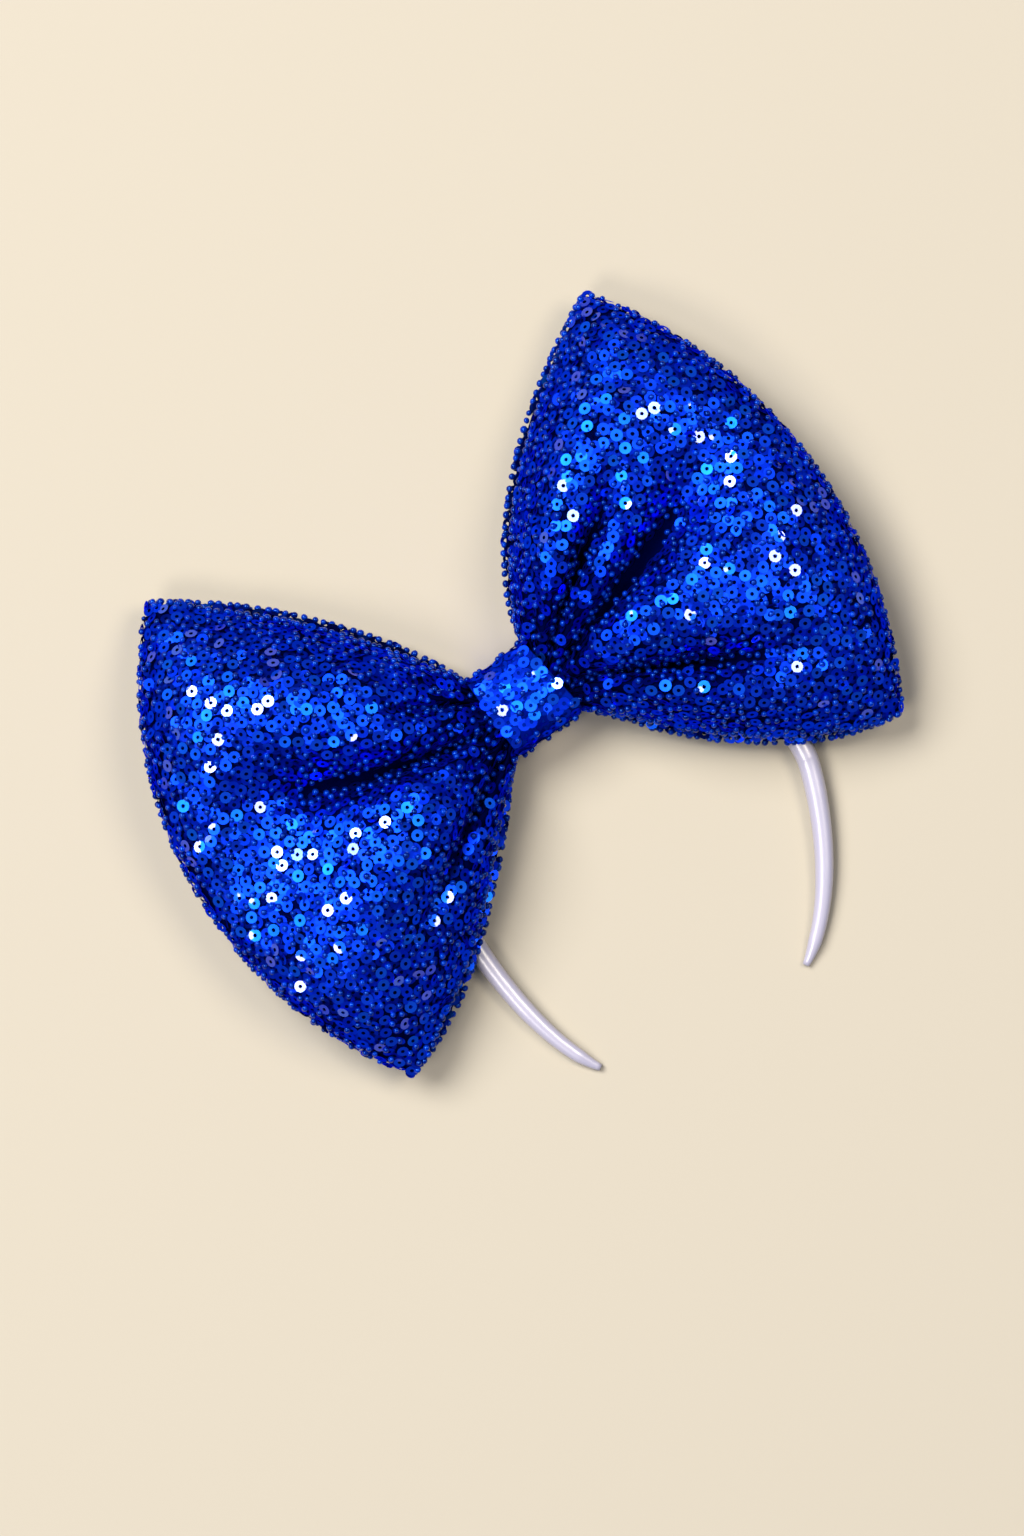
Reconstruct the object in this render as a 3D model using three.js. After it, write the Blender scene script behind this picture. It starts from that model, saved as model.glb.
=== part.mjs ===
// Bow headband: a wide sequinned bow gathered by a knot onto a padded satin headband.
// It lies on its back. X runs along the bow, Y towards its upper edge and Z out of its front.
// Each half of the bow is one closed loop of cloth, with open long sides and a hollow inside.
import * as THREE from 'three';

const { lerp, smoothstep, degToRad } = THREE.MathUtils;

// Driving sizes, in millimetres and degrees
const clearance = 0.3;
const clothWall = 2.6;

const bowDepth = 58;
const foldHeight = 24;
const cornerDroop = 7;
const sideGap = 9;
// How far the front layer's long edges lie inside those of the back layer
const frontInset = 2.5;

const knotWidth = 30;
const knotSlant = 4.2;
const knotHeight = 35.6;
const knotDepth = 35;
const knotWall = 2.5;
const knotCrown = 1.2;
const knotFrontRadius = 9;
const knotBackRadius = 5;

const bandHalfWidth = 77.5;
const bandShoulder = 64.5;
const bandTilt = 12;
const bandOffset = 17.9;
const bandDrop = 4;
// Each leg's fall below the shoulders, and how far its tip stands out from the middle
const leftLeg = { drop: 81, tipHalfWidth: 49.1 };
const rightLeg = { drop: 76.4, tipHalfWidth: 43.6 };
const bandThickness = 10.5;
const bandStrip = 9;
// Where a leg turns from the crown to the straight, and where it begins to fall, as shares along
const crownShare = 0.57;
const crownLevel = 0.2;

// Each lobe's corners, measured from the knot's centre, and how far its outer fold bulges
const leftLobe = {
  name: 'bow_loop_left',
  side: -1,
  topCorner: { out: 101, up: 118 },
  bottomCorner: { out: 124.5, up: -95.8 },
  foldBulge: 38.2,
  // Handles of the long edges' curves, as shares of their corner's place
  edges: [
    { corner: 'topCorner', out1: 0.24, up1: 0.39, out2: 0.63, up2: 0.81 },
    { corner: 'bottomCorner', out1: 0.32, up1: 0.4, out2: 0.62, up2: 0.89 },
  ],
  // Gathers that run out of the knot: place across at the knot and far out, widths across,
  // depth as a share of the bow's depth, and the shares outwards where they fade and end
  gathers: [
    { near: 0.42, far: 0.62, width: 0.045, spread: 0.11, depth: 0.24, fade: 0.3, end: 1 },
    { near: 0.71, far: 0.8, width: 0.04, spread: 0.07, depth: 0.12, fade: 0.12, end: 0.5 },
    { near: 0.13, far: 0.11, width: 0.045, spread: 0.055, depth: 0.17, fade: 0.25, end: 0.85 },
    { near: 0.27, far: 0.24, width: 0.035, spread: 0.06, depth: 0.07, fade: 0.1, end: 0.4 },
  ],
  // Soft dents, and swells with a negative depth, by place outwards and across
  dents: [
    { out: 0.7, across: 0.56, spanOut: 0.24, spanAcross: 0.17, depth: 0.13 },
    { out: 0.72, across: 0.85, spanOut: 0.2, spanAcross: 0.12, depth: -0.04 },
    { out: 0.6, across: 0.3, spanOut: 0.3, spanAcross: 0.09, depth: -0.05 },
  ],
};

const rightLobe = {
  name: 'bow_loop_right',
  side: 1,
  topCorner: { out: 115.5, up: 116.5 },
  bottomCorner: { out: 120.4, up: -92 },
  foldBulge: 30.6,
  edges: [
    { corner: 'topCorner', out1: 0.147, up1: 0.42, out2: 0.51, up2: 0.79 },
    { corner: 'bottomCorner', out1: 0.24, up1: 0.33, out2: 0.58, up2: 0.955 },
  ],
  gathers: [
    { near: 0.66, far: 0.8, width: 0.045, spread: 0.08, depth: 0.16, fade: 0.25, end: 0.8 },
    { near: 0.49, far: 0.63, width: 0.045, spread: 0.1, depth: 0.24, fade: 0.35, end: 1 },
    { near: 0.29, far: 0.17, width: 0.045, spread: 0.08, depth: 0.24, fade: 0.35, end: 1 },
    { near: 0.86, far: 0.9, width: 0.03, spread: 0.04, depth: 0.06, fade: 0.1, end: 0.4 },
  ],
  dents: [
    { out: 0.72, across: 0.62, spanOut: 0.24, spanAcross: 0.12, depth: 0.07 },
    { out: 0.6, across: 0.44, spanOut: 0.3, spanAcross: 0.09, depth: -0.05 },
    { out: 0.6, across: 0.93, spanOut: 0.35, spanAcross: 0.07, depth: -0.03 },
  ],
};

// Gathers in the back layer of either lobe
const backGathers = [
  { near: 0.3, far: 0.28, width: 0.05, spread: 0.1, depth: 0.08, fade: 0.2, end: 0.7 },
  { near: 0.55, far: 0.58, width: 0.05, spread: 0.1, depth: 0.08, fade: 0.2, end: 0.7 },
  { near: 0.78, far: 0.84, width: 0.05, spread: 0.08, depth: 0.06, fade: 0.2, end: 0.6 },
];

// The band's section along a leg: shares of its strip width and of its thickness
const bandSections = [
  { along: 0, strip: 1, thickness: 1 },
  { along: 0.55, strip: 1, thickness: 0.95 },
  { along: 0.7, strip: 0.95, thickness: 0.86 },
  { along: 0.85, strip: 0.82, thickness: 0.7 },
  { along: 0.96, strip: 0.62, thickness: 0.5 },
  { along: 1, strip: 0.32, thickness: 0.28 },
];

// How finely each surface is divided
const acrossSteps = 30;
const frontSteps = 16;
const backSteps = 12;
const waistSteps = 2;
const mouthSteps = 2;
const knotSteps = 4;
const cornerSteps = 5;
const bandSteps = 24;
const bandSides = 12;

// Where the hollow begins, and how the lobe swells out of the knot, as shares outwards
const hollowStart = 0.07;
const frontSwell = 0.42;
const backSwell = 0.34;
const foldSharpness = 6;
const sideSharpness = 5;
// How far the soft back is flattened by what it lies on, and how far from the band it is
// lifted and slopes down again, in millimetres
const restFlat = 4;
const liftFlat = 7;
const liftRun = 26;

function cubic(start, handle1, handle2, end, t) {
  const u = 1 - t;
  return u * u * u * start + 3 * u * u * t * handle1 + 3 * u * t * t * handle2 + t * t * t * end;
}

function tableValue(rows, key, at) {
  for (let i = 1; i < rows.length; i += 1) {
    if (at <= rows[i].along) {
      const share = (at - rows[i - 1].along) / (rows[i].along - rows[i - 1].along);
      return lerp(rows[i - 1][key], rows[i][key], share);
    }
  }
  return rows[rows.length - 1][key];
}

// A solid from triangles given as point numbers
function solid(name, points, triangles, colour, roughness) {
  const geometry = new THREE.BufferGeometry();
  geometry.setAttribute('position', new THREE.Float32BufferAttribute(points.flatMap((p) => p.toArray()), 3));
  geometry.setIndex(triangles.flat());
  geometry.computeVertexNormals();
  const material = new THREE.MeshStandardMaterial({ color: colour, roughness, metalness: 0 });
  const mesh = new THREE.Mesh(geometry, material);
  mesh.name = name;
  return mesh;
}

// The faces between rows of points, where each row closes on itself
function wrappedFaces(first, rows, count, outwards) {
  const faces = [];
  for (let row = 0; row < rows - 1; row += 1) {
    for (let i = 0; i < count; i += 1) {
      const a = first + row * count + i;
      const b = first + row * count + ((i + 1) % count);
      const c = a + count;
      const d = b + count;
      faces.push(outwards ? [a, b, d] : [a, d, b]);
      faces.push(outwards ? [a, d, c] : [a, c, d]);
    }
  }
  return faces;
}

// Faces between two open rows of point numbers, of the same length
function stripFaces(first, second, flip) {
  const faces = [];
  for (let i = 0; i < first.length - 1; i += 1) {
    const corners = [first[i], first[i + 1], second[i + 1], second[i]];
    const [a, b, c, d] = flip ? corners.reverse() : corners;
    faces.push([a, b, c], [a, c, d]);
  }
  return faces;
}

// A thick-walled tube from outer and inner rings. rimRows gives, for the numbers of one end's
// outer and inner points, the pairs of rows between which that end's rim is filled.
function hollowSolid(name, outerRings, innerRings, rimRows, colour, roughness) {
  const outerCount = outerRings[0].length;
  const innerCount = innerRings[0].length;
  const innerFirst = outerRings.length * outerCount;
  const faces = [
    ...wrappedFaces(0, outerRings.length, outerCount, true),
    ...wrappedFaces(innerFirst, innerRings.length, innerCount, false),
  ];
  [0, outerRings.length - 1].forEach((ring) => {
    const outer = outerRings[ring].map((point, i) => ring * outerCount + i);
    const inner = innerRings[ring].map((point, i) => innerFirst + ring * innerCount + i);
    rimRows(outer, inner).forEach(([first, second]) => faces.push(...stripFaces(first, second, ring === 0)));
  });
  return solid(name, [...outerRings.flat(), ...innerRings.flat()], faces, colour, roughness);
}

// The band's centreline on one leg, from its crown at 0 to its tip at 1
function bandPlace(along, leg) {
  const { drop, tipHalfWidth } = leg < 0 ? leftLeg : rightLeg;
  let sideways;
  let down;
  if (along <= crownShare) {
    const t = along / crownShare;
    sideways = cubic(0, bandHalfWidth * 0.55, bandHalfWidth, bandHalfWidth, t);
    down = cubic(0, 0, bandShoulder * 0.45, bandShoulder, t);
  } else {
    const t = (along - crownShare) / (1 - crownShare);
    const inwards = bandHalfWidth - tipHalfWidth;
    sideways = bandHalfWidth - cubic(0, 0, inwards * 0.2, inwards, t);
    down = bandShoulder + cubic(0, drop * 0.06, drop * 0.69, drop, t);
  }
  const tilt = degToRad(bandTilt);
  const u = bandOffset + leg * sideways;
  const v = bandDrop + down;
  return new THREE.Vector2(
    u * Math.cos(tilt) - v * Math.sin(tilt),
    -u * Math.sin(tilt) - v * Math.cos(tilt),
  );
}

// The band rises from the floor at its tips to the knot's back wall at its crown
const bandRise = knotWall + clearance;
function bandSection(along, leg) {
  const strip = bandStrip * tableValue(bandSections, 'strip', along);
  const thickness = bandThickness * tableValue(bandSections, 'thickness', along);
  const low = bandRise * Math.min(1, (1 - along) / (1 - crownLevel));
  return { place: bandPlace(along, leg), strip, thickness, low, top: low + thickness };
}

function bandLine() {
  const line = [];
  for (let i = -bandSteps; i <= bandSteps; i += 1) {
    line.push(bandSection(Math.abs(i) / bandSteps, Math.sign(i)));
  }
  return line;
}

function makeHeadband() {
  const line = bandLine();
  const points = [];
  line.forEach((section, i) => {
    const before = line[Math.max(0, i - 1)].place;
    const after = line[Math.min(line.length - 1, i + 1)].place;
    const along = after.clone().sub(before).normalize();
    for (let k = 0; k < bandSides; k += 1) {
      const turn = (2 * Math.PI * (k + 0.5)) / bandSides;
      const sideways = (Math.cos(turn) * section.strip) / 2;
      const half = section.thickness / 2;
      const height = section.low + half + (Math.sin(turn) * half) / Math.cos(Math.PI / bandSides);
      points.push(new THREE.Vector3(
        section.place.x + along.y * sideways,
        section.place.y - along.x * sideways,
        height,
      ));
    }
  });
  const faces = wrappedFaces(0, line.length, bandSides, false);
  [0, line.length - 1].forEach((row) => {
    const middle = new THREE.Vector3(line[row].place.x, line[row].place.y, line[row].low + line[row].thickness / 2);
    points.push(middle);
    for (let k = 0; k < bandSides; k += 1) {
      const a = row * bandSides + k;
      const b = row * bandSides + ((k + 1) % bandSides);
      faces.push(row === 0 ? [points.length - 1, a, b] : [points.length - 1, b, a]);
    }
  });
  return solid('headband', points, faces, 0xf0ebf3, 0.4);
}

// The knot's section across the bow, as Y and Z, set in from its outside by a distance
function knotSection(inset) {
  const half = knotHeight / 2 - inset;
  const top = knotDepth - inset;
  const bottom = inset;
  const front = knotFrontRadius - inset;
  const back = knotBackRadius - inset;
  const corners = [
    { y: half - back, z: bottom + back, radius: back, from: -Math.PI / 2 },
    { y: half - front, z: top - front, radius: front, from: 0 },
    { y: front - half, z: top - front, radius: front, from: Math.PI / 2 },
    { y: back - half, z: bottom + back, radius: back, from: Math.PI },
  ];
  const outline = [];
  corners.forEach((corner, number) => {
    for (let i = 0; i <= cornerSteps; i += 1) {
      const turn = corner.from + ((Math.PI / 2) * i) / cornerSteps;
      outline.push({
        y: corner.y + corner.radius * Math.cos(turn),
        z: corner.z + corner.radius * Math.sin(turn),
      });
    }
    // Points along the front, so that it can be crowned
    if (number === 1) {
      [0.5, 0, -0.5].forEach((share) => outline.push({ y: share * (half - front), z: top }));
    }
  });
  return outline.map(({ y, z }) => ({ y, z: z > knotDepth / 2 ? z - crownFall(y) : z }));
}

// How far the knot's crowned front lies below its highest line
function crownFall(y) {
  return knotCrown * (2 * y / knotHeight) ** 2;
}

// The knot's ends, which lean on the right so that it is wider at its lower edge
function knotEnd(side, y) {
  const lean = side > 0 ? -knotSlant * (y / knotHeight) : 0;
  return side * (knotWidth / 2) + lean;
}

function makeKnot() {
  const rings = (inset) => {
    const outline = knotSection(inset);
    return Array.from({ length: knotSteps + 1 }, (unused, i) => outline.map(({ y, z }) => (
      new THREE.Vector3(lerp(knotEnd(-1, y), knotEnd(1, y), i / knotSteps), y, z)
    )));
  };
  const rimRows = (outer, inner) => [[[...outer, outer[0]], [...inner, inner[0]]]];
  return hollowSolid('centre_knot', rings(0), rings(knotWall), rimRows, 0x0a35dd, 0.35);
}

// The gathered waist inside the knot: half its height, and its front and back at a place across
const waistHalf = knotHeight / 2 - knotWall - clearance;
const waistBack = bandRise + bandThickness + clearance;
function waistFront(y) {
  const radius = knotFrontRadius - knotWall;
  const beyond = Math.max(0, Math.abs(y) - (waistHalf - radius));
  const round = radius - Math.sqrt(Math.max(0, radius * radius - beyond * beyond));
  return knotDepth - knotWall - clearance - round - crownFall(y);
}

// A place on the lobe seen from the front: a runs outwards and s across, from lower to upper edge
function lobePlace(lobe, a, s) {
  const edge = ({ corner, out1, up1, out2, up2 }) => {
    const { out, up } = lobe[corner];
    const startUp = Math.sign(up) * waistHalf;
    const startOut = lobe.side * knotEnd(lobe.side, startUp) + clearance;
    return new THREE.Vector2(
      cubic(startOut, out * out1, out * out2, out, a),
      cubic(startUp, up * up1, up * up2, up, a),
    );
  };
  const top = edge(lobe.edges[0]);
  const bottom = edge(lobe.edges[1]);
  const { topCorner, bottomCorner, foldBulge } = lobe;
  const chord = new THREE.Vector2(topCorner.out - bottomCorner.out, topCorner.up - bottomCorner.up);
  const half = chord.length() / 2;
  const radius = (half * half + foldBulge * foldBulge) / (2 * foldBulge);
  const fromMiddle = (s - 0.5) * 2 * half;
  const bulge = Math.sqrt(radius * radius - fromMiddle * fromMiddle) - (radius - foldBulge);
  const outwards = new THREE.Vector2(chord.y, -chord.x).normalize();
  return bottom.lerp(top, s).addScaledVector(outwards, a * bulge);
}

function gatherDepth(gathers, a, s) {
  let depth = 0;
  gathers.forEach((row) => {
    const centre = lerp(row.near, row.far, Math.min(1, a / 0.8));
    const width = lerp(row.width, row.spread, a);
    const share = smoothstep(a, -0.06, 0.12) * (1 - smoothstep(a, row.fade, row.end));
    depth += row.depth * bowDepth * share * Math.exp(-(((s - centre) / width) ** 2));
  });
  return depth;
}

function dentDepth(dents, a, s) {
  return dents.reduce((depth, row) => {
    const out = (a - row.out) / row.spanOut;
    const across = (s - row.across) / row.spanAcross;
    return depth + row.depth * bowDepth * Math.exp(-(out * out + across * across));
  }, 0);
}

// The height that the back layer is lifted to where it lies over the band
const bandPlaces = bandLine();
function liftOverBand(place) {
  let height = 0;
  bandPlaces.forEach((section) => {
    const away = section.place.distanceTo(place) - section.strip / 2;
    const lift = (section.top + 2 * clearance) * (1 - smoothstep(away, liftFlat, liftFlat + liftRun));
    height = Math.max(height, lift);
  });
  return height;
}

// A point of the lobe's cloth. a and s are its place, face is 1 on the front layer and -1 on
// the back, and inset is the depth below the cloth's outside.
function clothPoint(lobe, a, s, face, inset) {
  const sideShare = Math.abs(2 * s - 1);
  const reach = lobe.topCorner.out + lobe.foldBulge;
  const width = lerp(2 * waistHalf, lobe.topCorner.up - lobe.bottomCorner.up, a);
  const tuck = face > 0 ? smoothstep(a, 0.04, 0.25) * (1 - smoothstep(a, 0.8, 0.97)) : 0;
  const across = lerp(s, 0.5, (2 * tuck * frontInset) / width);
  const place = lobePlace(lobe, a * (1 - inset / reach), across);

  const fold = Math.sqrt(Math.max(0, 1 - a ** foldSharpness));
  const plump = 1 - sideShare ** sideSharpness;
  const sideHalf = sideGap / 2 + clothWall;
  const middle = foldHeight - cornerDroop * sideShare ** 2;
  const waistUp = lerp(-waistHalf, waistHalf, s);

  const world = new THREE.Vector2(lobe.side * place.x, place.y);
  const floor = liftOverBand(world);
  const backDrop = (lerp(sideHalf, middle + restFlat, plump) - inset) * fold;
  const backRest = middle - backDrop + gatherDepth(backGathers, a, s) * fold;
  const back = Math.max(
    lerp(waistBack + inset, backRest, smoothstep(a, 0, backSwell)),
    floor + inset * fold,
  );
  if (face < 0) {
    return new THREE.Vector3(world.x, world.y, Math.min(back, Math.max(middle, floor + inset)));
  }
  const frontRise = (lerp(sideHalf, bowDepth - middle, plump) - inset) * fold;
  const swell = lerp(waistFront(waistUp) - inset, middle + frontRise, smoothstep(a, 0, frontSwell));
  const hollows = (gatherDepth(lobe.gathers, a, s) + dentDepth(lobe.dents, a, s)) * fold;
  const least = Math.max(middle, floor + inset) + (inset > 0 ? 1 : 2 + 2 * clothWall) * fold;
  const low = lerp(back + 2 * (clothWall - inset) + 1, least, smoothstep(a, 0.1, 0.3));
  return new THREE.Vector3(world.x, world.y, Math.max(swell - hollows, Math.min(low, swell)));
}

// Shares from 0 to 1 that crowd towards the outer fold
function outwardShares(steps, first) {
  return Array.from({ length: steps + 1 }, (unused, i) => {
    const t = i / steps;
    return lerp(first, 1, lerp(t, 1 - (1 - t) ** 2, 0.72));
  });
}

function waistPoint(lobe, share, s, face) {
  const mouth = clothPoint(lobe, 0, s, face, 0);
  const inner = lobe.side * (clearance / 2);
  const up = lerp(-waistHalf, waistHalf, s);
  const front = lerp(waistFront(up), mouth.z, share);
  return new THREE.Vector3(lerp(inner, mouth.x, share), up, face > 0 ? front : waistBack);
}

function makeLobe(lobe) {
  const acrossShares = Array.from({ length: acrossSteps + 1 }, (unused, i) => {
    const t = i / acrossSteps;
    return lerp(t, 0.5 - 0.5 * Math.cos(Math.PI * t), 0.45);
  });
  if (lobe.side < 0) {
    acrossShares.reverse();
  }
  const waistShares = Array.from({ length: waistSteps }, (unused, i) => i / waistSteps);
  const mouthShares = Array.from({ length: mouthSteps }, (unused, i) => (hollowStart * i) / mouthSteps);
  const layer = (s, face, inset) => {
    const shares = outwardShares(face > 0 ? frontSteps : backSteps, hollowStart);
    return shares.map((a) => clothPoint(lobe, a, s, face, inset));
  };
  const gathered = (s, face) => [
    ...waistShares.map((share) => waistPoint(lobe, share, s, face)),
    ...mouthShares.map((a) => clothPoint(lobe, a, s, face, 0)),
  ];
  const outer = acrossShares.map((s) => [
    ...gathered(s, 1),
    ...layer(s, 1, 0),
    ...layer(s, -1, 0).slice(0, -1).reverse(),
    ...gathered(s, -1).reverse(),
  ]);
  const inner = acrossShares.map((s) => [
    ...layer(s, 1, clothWall),
    ...layer(s, -1, clothWall).slice(0, -1).reverse(),
  ]);
  const solidSteps = waistSteps + mouthSteps;
  const rimRows = (outerRow, innerRow) => [
    [outerRow.slice(0, solidSteps + 1), [...outerRow].reverse().slice(0, solidSteps + 1)],
    [outerRow.slice(solidSteps, outerRow.length - solidSteps), innerRow],
    [[innerRow[0], innerRow.at(-1)], [outerRow[solidSteps], outerRow.at(-1 - solidSteps)]],
  ];
  return hollowSolid(lobe.name, outer, inner, rimRows, 0x0a35dd, 0.35);
}

const group = new THREE.Group();
group.add(makeLobe(leftLobe), makeLobe(rightLobe), makeKnot(), makeHeadband());

// The origin is below the middle of the whole piece, on the surface that it lies on
const box = new THREE.Box3().setFromObject(group);
group.position.set(-(box.min.x + box.max.x) / 2, -(box.min.y + box.max.y) / 2, -box.min.z);
group.updateMatrixWorld(true);

export default group;
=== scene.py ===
import math
import bpy
import numpy as np
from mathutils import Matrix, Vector
from mathutils.kdtree import KDTree


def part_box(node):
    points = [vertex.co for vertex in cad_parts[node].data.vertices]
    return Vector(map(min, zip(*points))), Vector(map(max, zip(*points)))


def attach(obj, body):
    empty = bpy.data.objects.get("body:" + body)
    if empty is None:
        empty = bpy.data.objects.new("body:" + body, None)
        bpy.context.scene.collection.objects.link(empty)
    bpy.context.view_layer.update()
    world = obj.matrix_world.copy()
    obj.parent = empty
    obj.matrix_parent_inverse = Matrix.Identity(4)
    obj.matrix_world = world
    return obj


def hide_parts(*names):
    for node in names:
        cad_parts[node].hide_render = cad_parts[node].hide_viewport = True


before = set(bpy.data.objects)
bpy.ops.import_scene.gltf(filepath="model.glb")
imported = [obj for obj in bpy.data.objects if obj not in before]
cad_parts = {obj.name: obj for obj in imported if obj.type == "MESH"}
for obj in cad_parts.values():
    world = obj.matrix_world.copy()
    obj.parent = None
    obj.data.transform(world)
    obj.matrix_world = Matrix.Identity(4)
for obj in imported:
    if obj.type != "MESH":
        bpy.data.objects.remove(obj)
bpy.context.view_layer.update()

MM = 0.001
TINY = 1e-9
random = np.random.default_rng(17)

# The part's own sizes, in millimetres
CLEARANCE = 0.3
CLOTH_WALL = 2.6
BOW_DEPTH = 58
FOLD_HEIGHT = 24
CORNER_DROOP = 7
SIDE_GAP = 9
KNOT_WIDTH = 30
KNOT_SLANT = 4.2
KNOT_HEIGHT = 35.6
KNOT_DEPTH = 35
KNOT_WALL = 2.5
KNOT_CROWN = 1.2
KNOT_FRONT_RADIUS = 9
KNOT_BACK_RADIUS = 5
FRONT_INSET = 2.5
BAND_HALF_WIDTH = 77.5
BAND_SHOULDER = 64.5
BAND_TILT = 12
BAND_OFFSET = 17.9
BAND_DROP = 4
# Each leg's fall below the shoulders, and how far its tip stands out from the middle
LEFT_LEG = (81, 49.1)
RIGHT_LEG = (76.4, 43.6)
BAND_THICKNESS = 10.5
BAND_STRIP = 9
CROWN_SHARE = 0.57
CROWN_LEVEL = 0.2
# The curve handles, as shares of the half width and shoulder, and of a leg's narrowing and fall
CROWN_HANDLES = (0.55, 0.45)
LEG_HANDLES = (0.2, 0.06, 0.69)
HOLLOW_START = 0.07
FRONT_SWELL = 0.42
BACK_SWELL = 0.34
FOLD_SHARPNESS = 6
SIDE_SHARPNESS = 5
REST_FLAT = 4
LIFT_FLAT = 7
LIFT_RUN = 26
LIFT_STEPS = 24
# Shares outwards where the front's tuck grows and ends, and where its room over the back grows
TUCK_GROWTH = (0.04, 0.25)
TUCK_END = (0.8, 0.97)
ROOM_GROWTH = (0.1, 0.3)
# Shares outwards where a gather grows, and where it reaches its far place
GATHER_GROWTH = (-0.06, 0.12)
GATHER_FAR = 0.8

LEFT_LOBE = dict(
    name="left", side=-1, top_corner=(101, 118), bottom_corner=(124.5, -95.8), fold_bulge=38.2,
    top_handles=(0.24, 0.39, 0.63, 0.81), bottom_handles=(0.32, 0.4, 0.62, 0.89),
    # near, far, width, spread, depth, fade, end
    gathers=[
        (0.42, 0.62, 0.045, 0.11, 0.24, 0.3, 1),
        (0.71, 0.8, 0.04, 0.07, 0.12, 0.12, 0.5),
        (0.13, 0.11, 0.045, 0.055, 0.17, 0.25, 0.85),
        (0.27, 0.24, 0.035, 0.06, 0.07, 0.1, 0.4),
    ],
    # Creases too narrow for the solid, with the gathers' columns
    creases=[
        (0.41, 0.6, 0.03, 0.04, 0.17, 0.4, 0.9),
        (0.75, 0.79, 0.02, 0.035, 0.11, 0.15, 0.5),
        (0.14, 0.12, 0.02, 0.03, 0.11, 0.3, 0.75),
    ],
    # The first pleat's place across, and the pleats' spacing
    pleats=(0.13, 0.145),
    # out, across, span out, span across, depth
    dents=[
        (0.68, 0.53, 0.24, 0.15, 0.13),
        (0.9, 0.43, 0.24, 0.14, 0.17),
        (0.88, 0.76, 0.22, 0.1, -0.06),
        (0.72, 0.85, 0.2, 0.12, -0.04),
        (0.6, 0.3, 0.3, 0.09, -0.05),
    ],
)
# The right lobe's rows have the left lobe's columns
RIGHT_LOBE = dict(
    name="right", side=1, top_corner=(115.5, 116.5), bottom_corner=(120.4, -92), fold_bulge=30.6,
    top_handles=(0.147, 0.42, 0.51, 0.79), bottom_handles=(0.24, 0.33, 0.58, 0.955),
    gathers=[
        (0.66, 0.8, 0.045, 0.08, 0.16, 0.25, 0.8),
        (0.49, 0.63, 0.045, 0.1, 0.24, 0.35, 1),
        (0.29, 0.17, 0.045, 0.08, 0.24, 0.35, 1),
        (0.86, 0.9, 0.03, 0.04, 0.06, 0.1, 0.4),
    ],
    creases=[
        (0.66, 0.8, 0.035, 0.04, 0.24, 0.4, 0.78),
        (0.49, 0.62, 0.035, 0.045, 0.2, 0.48, 0.9),
        (0.29, 0.18, 0.03, 0.04, 0.16, 0.45, 0.9),
    ],
    pleats=(0.11, 0.18),
    dents=[
        (0.74, 0.63, 0.28, 0.13, 0.15),
        (0.75, 0.9, 0.3, 0.07, -0.05),
        (0.6, 0.44, 0.3, 0.09, -0.05),
        (0.6, 0.93, 0.35, 0.07, -0.03),
    ],
)
# near, far, width, spread, depth, fade, end
BACK_GATHERS = [
    (0.3, 0.28, 0.05, 0.1, 0.08, 0.2, 0.7),
    (0.55, 0.58, 0.05, 0.1, 0.08, 0.2, 0.7),
    (0.78, 0.84, 0.05, 0.08, 0.06, 0.2, 0.6),
]
# along, strip, thickness
BAND_SECTIONS = np.array([
    (0, 1, 1), (0.55, 1, 0.95), (0.7, 0.95, 0.86), (0.85, 0.82, 0.7), (0.96, 0.62, 0.5), (1, 0.32, 0.28),
])

# How far inside the solid's outer face the cloth's two faces lie
CLOTH_OUTSIDE = 0.4
CLOTH_INSIDE = 1.7
KNOT_OUTSIDE = CLOTH_OUTSIDE * 0.6
# The gathers' sharp bottoms, which are too fine for the solid
CREASE_SHARE = 0.3
CREASE_NARROWING = 0.45
# The depths over which sequins and beads end
BARE_DEPTHS = (5.5, 10)
BEADLESS_DEPTHS = (7.5, 12)
# Fine pleats beside the knot, and the shares outwards where they fade and end
PLEAT_DEPTH = 4.2
PLEAT_FADE = (0.08, 0.42)
# How far the cloth dips under the knot's ends, and the share outwards where that ends
MOUTH_DIP = 3.2
MOUTH_DIP_END = 0.14
# Wrinkles along the knot: where they start in depth, their slant, bow and spacing
WRINKLE_START = 0.55
WRINKLE_SLANT = 5
WRINKLE_BOW = 1.8
WRINKLE_SPACING = 7.5

# The trimmings, in millimetres
SEQUIN_RADIUS = 2.5
SEQUIN_HOLE = 0.8
SEQUIN_RISE = 0.02
SEQUIN_SIDES = 12
SEQUIN_SIZES = (0.95, 1.04)
SEQUIN_SPACING = 3.0
BACK_SEQUIN_SPACING = SEQUIN_SPACING * 1.12
KNOT_SEQUIN_SPACING = SEQUIN_SPACING * 0.95
# How far sequins lean at random, and how high the lowest and the highest lie over the cloth
SEQUIN_LEAN = 0.11
SEQUIN_LIFTS = (0.25, 1.6)
KNOT_SEQUIN_LEAN = 0.08
KNOT_SEQUIN_LIFTS = (0.1, 0.8)
LEAST_HEIGHT = 0.1
# The tone from which a sequin lies on top and is glossy, and how clear of its middle beads stay
GLOSSY_TONE = 0.6
TOP_CLEARANCE = 2.5
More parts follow.
